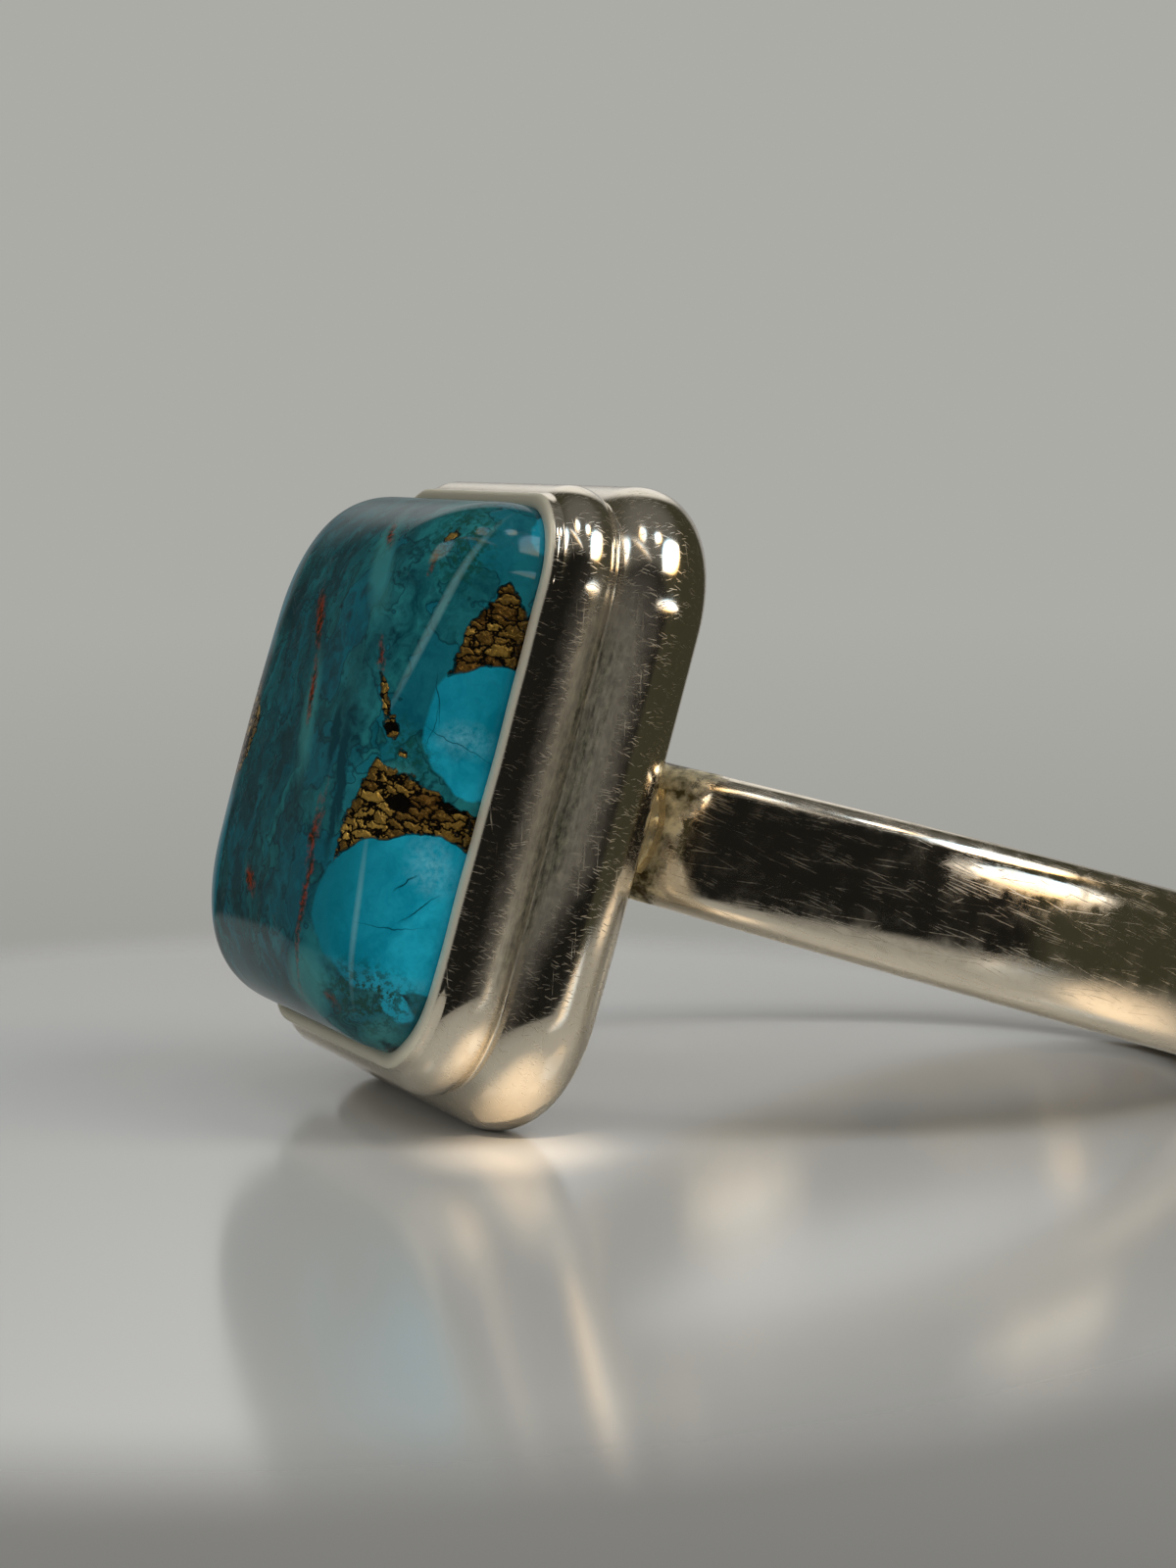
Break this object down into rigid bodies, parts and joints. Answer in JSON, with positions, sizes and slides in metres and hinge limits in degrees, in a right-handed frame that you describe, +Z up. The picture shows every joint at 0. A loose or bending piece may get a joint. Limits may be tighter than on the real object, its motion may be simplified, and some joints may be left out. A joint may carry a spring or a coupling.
{
  "type": "turquoise ring",
  "caption": "Finger ring lying on its side: a high cushion turquoise cabochon in a deep two-roll bezel setting, soldered to a D-section band.",
  "frame": {"origin": "on the surface the ring lies on, under the middle of its bounding box", "axes": "+Z up from the surface, +X from the stone's face towards the back of the band, Y across the ring's plane of symmetry"},
  "size_m": [0.0272, 0.0208, 0.0155],
  "materials": {
    "silver": "polished sterling silver with fine wear scratches",
    "turquoise": "polished turquoise composite with bronze-coloured matrix"
  },
  "bodies": {
    "root": {"silver_ring": "silver", "turquoise_stone": "turquoise"}
  },
  "joints": []
}
